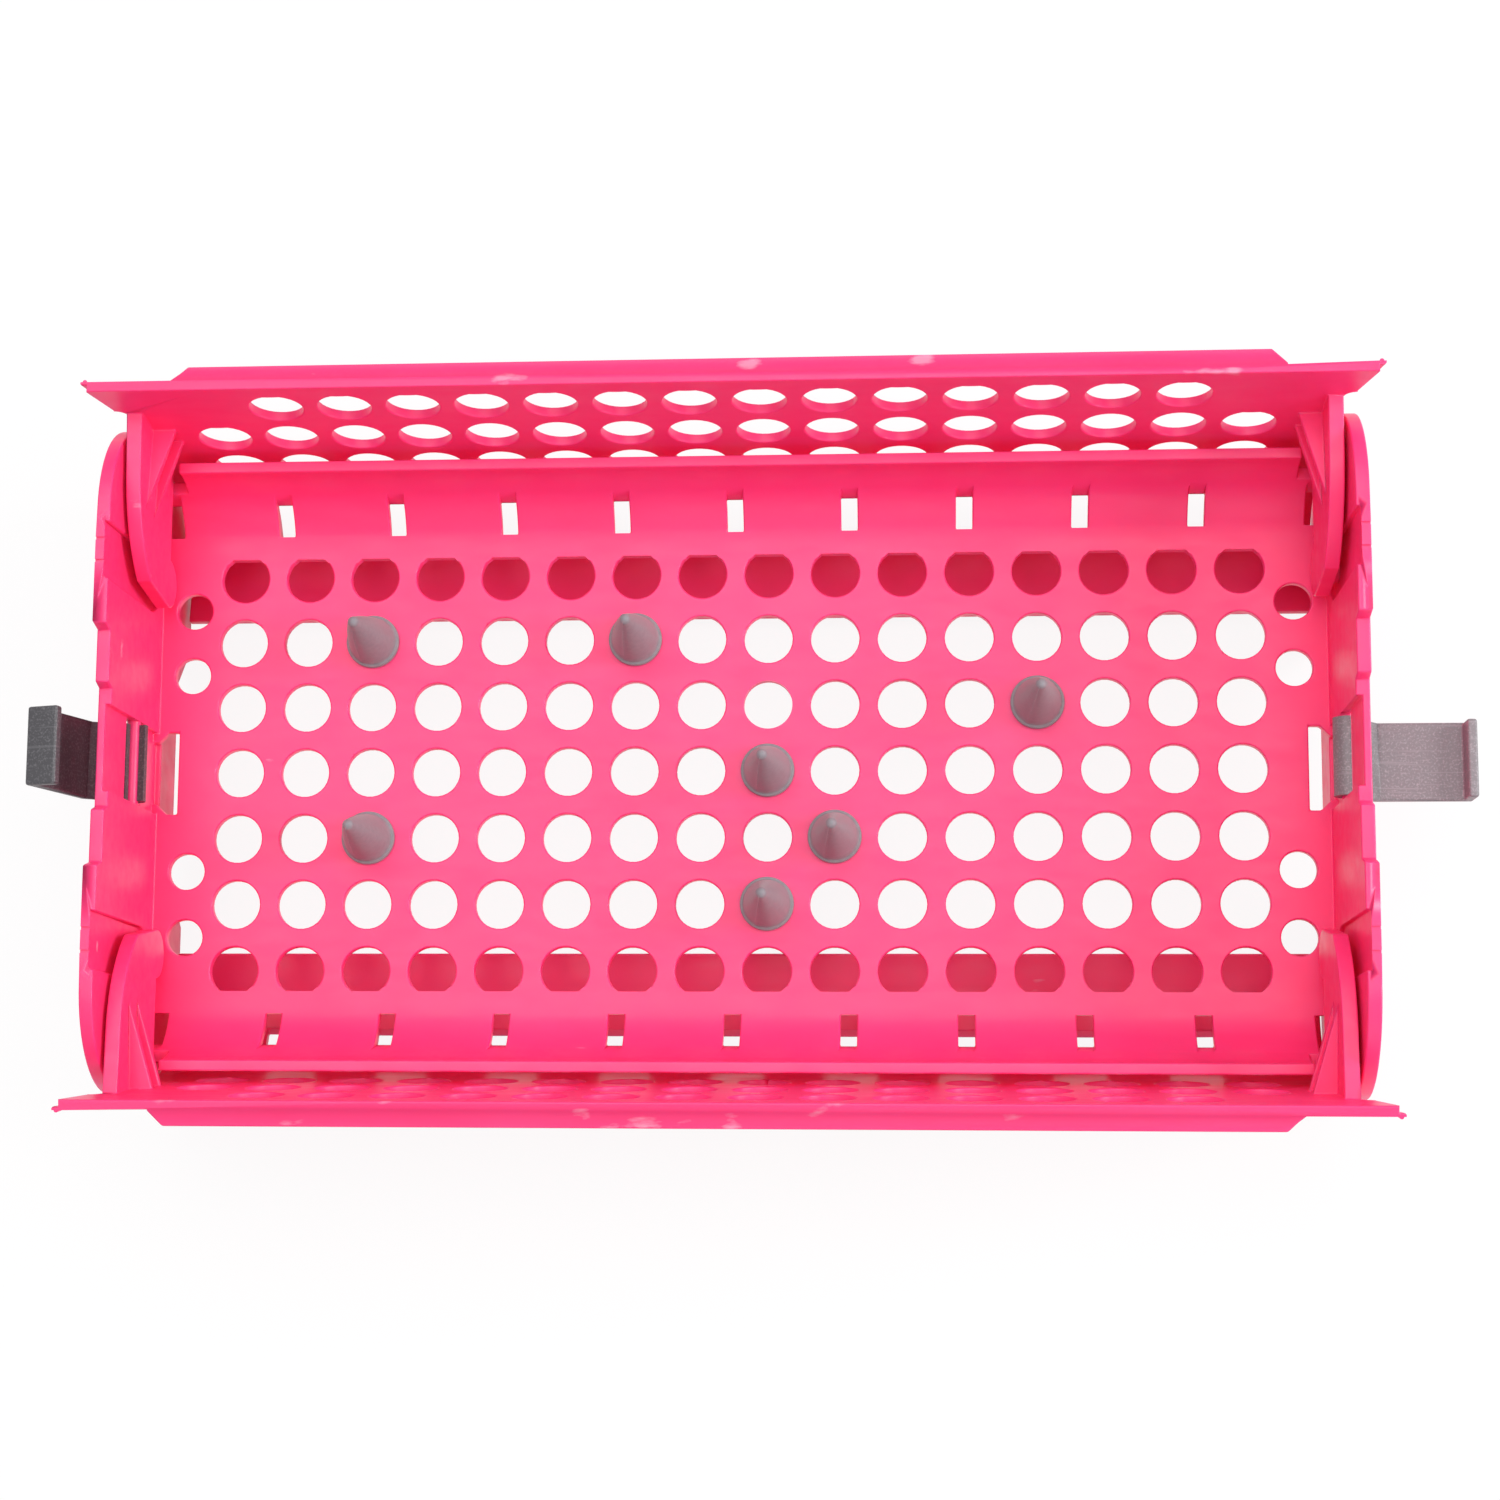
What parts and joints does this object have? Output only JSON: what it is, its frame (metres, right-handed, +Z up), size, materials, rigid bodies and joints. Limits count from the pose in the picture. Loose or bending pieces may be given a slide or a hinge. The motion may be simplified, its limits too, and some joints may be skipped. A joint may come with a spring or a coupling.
{
  "type": "dental tool organizer",
  "caption": "Perforated plastic instrument tray with two swing covers, a snap latch at each end and soft pegs that part the instruments.",
  "frame": {"origin": "middle of the tray, on the surface its feet stand on", "axes": "+X along the long side to the right latch, +Y to the rear cover, +Z up"},
  "size_m": [0.2273, 0.1188, 0.0515],
  "materials": {
    "pink_plastic": "satin moulded",
    "dark_grey_plastic": "satin moulded",
    "mid_grey_plastic": "satin moulded",
    "grey_silicone": "matt"
  },
  "bodies": {
    "tub": {"tray": "pink_plastic", "peg_1": "grey_silicone", "peg_2": "grey_silicone", "peg_3": "grey_silicone", "peg_4": "grey_silicone", "peg_5": "grey_silicone", "peg_6": "grey_silicone", "peg_7": "grey_silicone"},
    "rear_cover": {"rear_cover": "pink_plastic"},
    "front_cover": {"front_cover": "pink_plastic"},
    "left_latch": {"left_latch": "dark_grey_plastic"},
    "right_latch": {"right_latch": "mid_grey_plastic"}
  },
  "joints": [
    {"name": "rear_cover_hinge", "type": "hinge", "parent": "tub", "child": "rear_cover", "pos_m": [0, 0.0308, 0.0242], "axis": [1, 0, 0], "range_deg": [0, 98.4]},
    {"name": "front_cover_hinge", "type": "hinge", "parent": "tub", "child": "front_cover", "pos_m": [0, -0.0308, 0.0242], "axis": [-1, 0, 0], "range_deg": [0, 98.4]},
    {"name": "left_latch_hinge", "type": "hinge", "parent": "tub", "child": "left_latch", "pos_m": [-0.0976, 0, 0.0281], "axis": [0, 1, 0], "range_deg": [-74, 16]},
    {"name": "right_latch_hinge", "type": "hinge", "parent": "tub", "child": "right_latch", "pos_m": [0.0976, 0, 0.0281], "axis": [0, -1, 0], "range_deg": [0, 90]}
  ]
}
